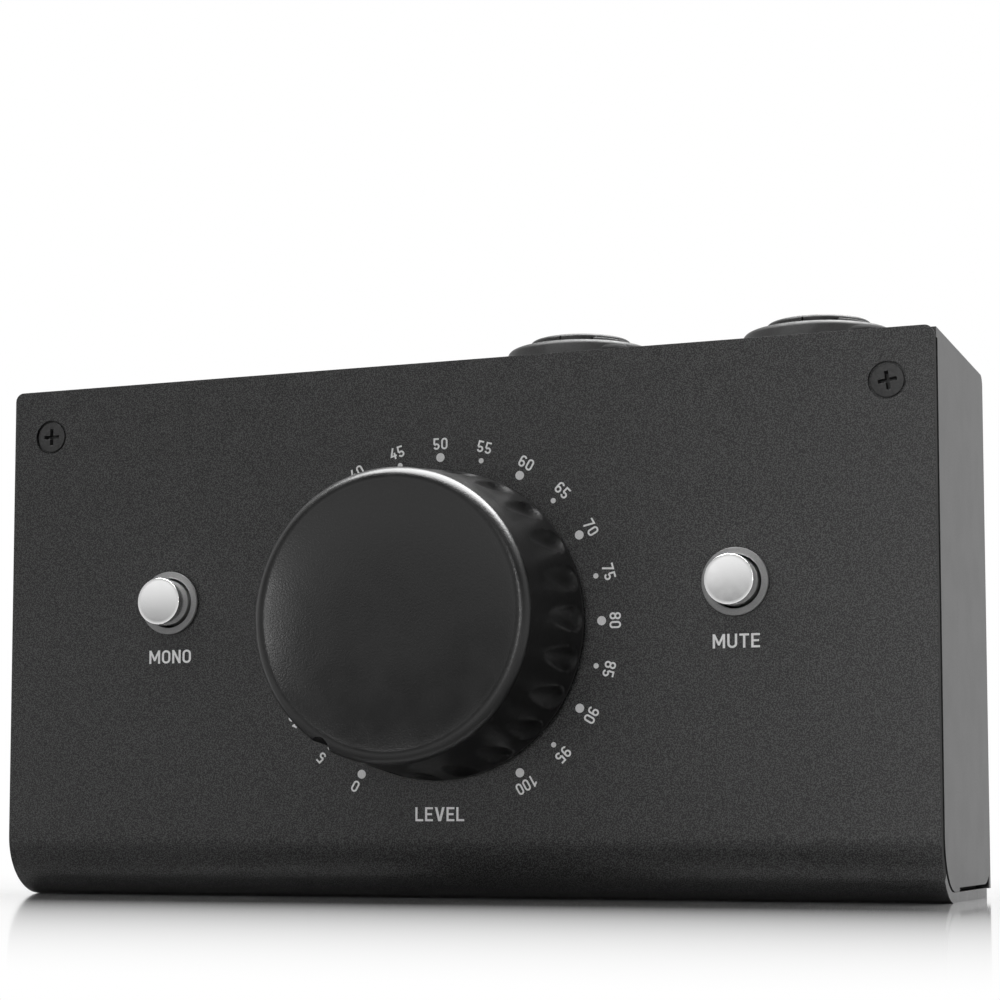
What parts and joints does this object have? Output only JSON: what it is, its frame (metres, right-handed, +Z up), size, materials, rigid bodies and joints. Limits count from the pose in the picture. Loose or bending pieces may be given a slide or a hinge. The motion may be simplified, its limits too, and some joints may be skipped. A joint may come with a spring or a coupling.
{
  "type": "studio monitor controller",
  "caption": "Desktop studio monitor controller in a folded steel case: fluted volume knob on a multi-gang potentiometer, push buttons for mono and mute, combination inputs and pin outputs.",
  "frame": {"origin": "middle of the case's footprint (case width and depth), on the face that the case stands on", "axes": "+X to the right seen from the front, +Y to the back, +Z up"},
  "size_m": [0.15, 0.0642, 0.087],
  "materials": {
    "case_paint": "fine black powder coat",
    "knob_plastic": "satin black",
    "button_metal": "satin silver",
    "bezel_plastic": "matte grey",
    "socket_plastic": "moulded black",
    "screw_steel": "black",
    "bright_metal": "nickel plated",
    "brass": "plain",
    "board": "solder mask",
    "rubber": "matte",
    "pot_resin": "pressed resin board"
  },
  "bodies": {
    "case": {"front_cover": "case_paint", "rear_chassis": "case_paint", "cover_screw_left": "screw_steel", "cover_screw_right": "screw_steel", "bottom_screw_left": "screw_steel", "bottom_screw_right": "screw_steel", "foot_1": "rubber", "foot_2": "rubber", "foot_3": "rubber", "foot_4": "rubber", "pot_bushing": "bright_metal", "pot_washer": "bright_metal", "pot_nut": "bright_metal", "pot_gang_1": "pot_resin", "pot_gang_2": "pot_resin", "pot_gang_3": "pot_resin", "pot_gang_4": "pot_resin", "mono_bezel": "bezel_plastic", "mono_switch": "socket_plastic", "mono_spring": "bright_metal", "mute_bezel": "bezel_plastic", "mute_switch": "socket_plastic", "mute_spring": "bright_metal", "input_left_shell": "socket_plastic", "input_left_core": "socket_plastic", "input_left_screw_front": "screw_steel", "input_left_screw_rear": "screw_steel", "input_right_shell": "socket_plastic", "input_right_core": "socket_plastic", "input_right_screw_front": "screw_steel", "input_right_screw_rear": "screw_steel", "output_left_shell": "socket_plastic", "output_left_pin_1": "bright_metal", "output_left_pin_2": "bright_metal", "output_left_pin_3": "bright_metal", "output_left_screw_front": "screw_steel", "output_left_screw_rear": "screw_steel", "output_right_shell": "socket_plastic", "output_right_pin_1": "bright_metal", "output_right_pin_2": "bright_metal", "output_right_pin_3": "bright_metal", "output_right_screw_front": "screw_steel", "output_right_screw_rear": "screw_steel", "mini_jack_body": "socket_plastic", "mini_jack_nut": "bright_metal", "socket_board": "board", "control_board": "board", "board_link": "socket_plastic"},
    "knob": {"knob_shell": "knob_plastic", "knob_hub": "brass", "pot_shaft": "bright_metal", "pot_rotor_1": "brass", "pot_rotor_2": "brass", "pot_rotor_3": "brass", "pot_rotor_4": "brass"},
    "mono_button": {"mono_cap": "button_metal", "mono_plunger": "socket_plastic"},
    "mute_button": {"mute_cap": "button_metal", "mute_plunger": "socket_plastic"}
  },
  "joints": [
    {"name": "level", "type": "hinge", "parent": "case", "child": "knob", "pos_m": [0, -0.0207, 0.041], "axis": [0, 1, 0], "range_deg": [0, 300]},
    {"name": "mono_press", "type": "slide", "parent": "case", "child": "mono_button", "axis": [0, 1, 0], "range_m": [0, 0.003], "stiffness_N_per_m": 350, "deforming": ["mono_spring"]},
    {"name": "mute_press", "type": "slide", "parent": "case", "child": "mute_button", "axis": [0, 1, 0], "range_m": [0, 0.003], "stiffness_N_per_m": 350, "deforming": ["mute_spring"]}
  ]
}
